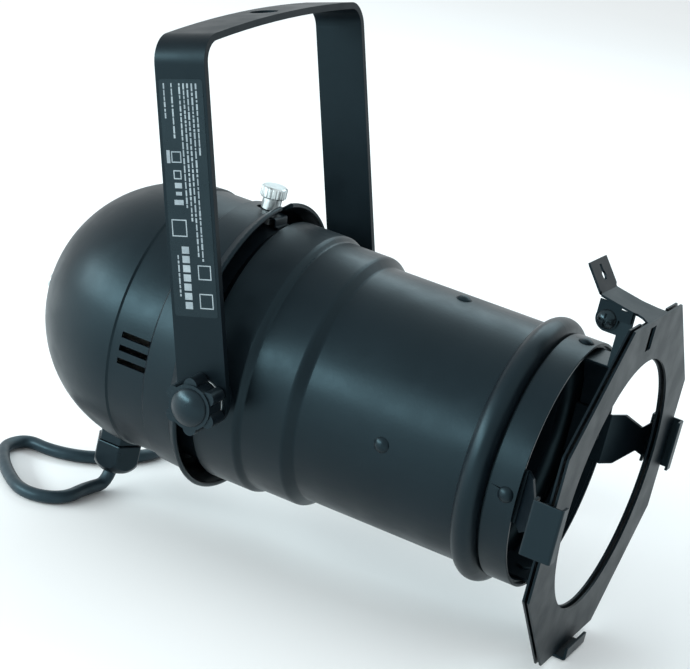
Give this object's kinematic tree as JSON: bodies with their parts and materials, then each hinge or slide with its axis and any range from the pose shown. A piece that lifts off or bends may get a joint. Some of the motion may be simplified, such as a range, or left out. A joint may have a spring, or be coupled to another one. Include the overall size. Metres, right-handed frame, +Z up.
{
  "type": "par can light",
  "caption": "Short round stage lantern on a swivel yoke, with domed rear cap, reflector lamp, clipped octagonal filter frame and mains lead.",
  "frame": {"origin": "centre of the standing lantern's footprint, on the table, its lead and plug left out of the measure", "axes": "+Z up, +X forwards along the beam as seen from above, +Y towards the side away from the filter frame's screw"},
  "size_m": [0.247, 0.2132, 0.1958],
  "materials": {
    "black_paint": "satin black powder coat",
    "black_screw": "blackened steel",
    "zinc": "bright zinc plate",
    "black_plastic": "moulded nylon",
    "rubber": "matt",
    "porcelain": "glazed ceramic",
    "brass": "plain",
    "lamp_metal": "plain",
    "lamp_mirror": "aluminised glass",
    "lamp_glass": "lightly stippled",
    "lead_sheath": "matt flexible sheath",
    "plug_metal": "plain"
  },
  "bodies": {
    "front_tube": {"front_tube": "black_paint", "front_collar": "black_paint", "glare_ring": "black_paint", "ring_rivets": "black_paint", "clip_rivets": "black_paint", "near_yoke_bush": "black_paint", "far_yoke_bush": "black_paint", "near_yoke_bolt": "zinc", "far_yoke_bolt": "zinc", "cap_screw_bridge": "black_paint", "cap_screw_nut": "zinc", "cap_guides": "black_paint", "near_clip": "black_paint", "bottom_clip": "black_paint", "far_clip": "black_paint", "catch_bracket": "black_paint"},
    "yoke": {"yoke": "black_paint", "knob_washers": "zinc"},
    "near_knob": {"near_knob": "black_plastic", "near_knob_button": "black_plastic"},
    "far_knob": {"far_knob": "black_plastic", "far_knob_button": "black_plastic"},
    "cap_thumb_screw": {"cap_thumb_screw": "zinc"},
    "rear_cap": {"rear_cap": "black_paint", "holder_bracket": "zinc", "holder_screws": "zinc", "lamp_holder": "porcelain", "holder_thread_shell": "brass", "holder_contact": "brass", "terminal_block": "porcelain", "gland_lock_nut": "black_plastic", "gland_inner_seal": "rubber", "gland_outer_seal": "rubber", "gland_body": "black_plastic", "gland_cap": "black_plastic", "gland_grip": "rubber", "cord_tail": "lead_sheath", "cord_route": "lead_sheath", "cord_coil": "lead_sheath", "cord_end": "lead_sheath", "cord_tie": "lead_sheath", "plug_strain_relief": "lead_sheath", "plug_body": "lead_sheath", "plug_pins": "plug_metal"},
    "lamp": {"lamp_base": "lamp_metal", "lamp_contact": "lamp_metal", "lamp_reflector": "lamp_mirror", "lamp_lens": "lamp_glass"},
    "gel_frame": {"gel_frame_front": "black_paint", "gel_frame_back": "black_paint", "gel_frame_nut": "black_screw"},
    "gel_screw": {"gel_frame_screw": "black_screw"}
  },
  "joints": [
    {"name": "yoke_tilt", "type": "hinge", "parent": "front_tube", "child": "yoke", "pos_m": [-0.0191, 0, 0.07143], "axis": [0.0034, 0.9985, 0.054], "range_deg": [-90, 60]},
    {"name": "near_knob_turn", "type": "hinge", "parent": "front_tube", "child": "near_knob", "pos_m": [-0.0191, 0, 0.07143], "axis": [-0.0034, -0.9985, -0.054], "continuous": true},
    {"name": "far_knob_turn", "type": "hinge", "parent": "front_tube", "child": "far_knob", "pos_m": [-0.0191, 0, 0.07143], "axis": [0.0034, 0.9985, 0.054], "continuous": true},
    {"name": "thumb_screw_turn", "type": "hinge", "parent": "front_tube", "child": "cap_thumb_screw", "pos_m": [-0.03443, 0, 0.1225], "axis": [0.0628, 0, 0.998], "continuous": true},
    {"name": "cap_slide", "type": "slide", "parent": "front_tube", "child": "rear_cap", "axis": [-0.998, 0, 0.0628], "range_m": [0, 0.06]},
    {"name": "lamp_turn", "type": "hinge", "parent": "rear_cap", "child": "lamp", "pos_m": [-0.068, 0, 0.07451], "axis": [0.998, 0, -0.0628], "continuous": true},
    {"name": "gel_frame_slide", "type": "slide", "parent": "front_tube", "child": "gel_frame", "axis": [0.0628, 0, 0.998], "range_m": [0, 0.125]},
    {"name": "gel_screw_turn", "type": "hinge", "parent": "gel_frame", "child": "gel_screw", "pos_m": [0.09814, -0.007, 0.12097], "axis": [0, -1, 0], "continuous": true}
  ]
}
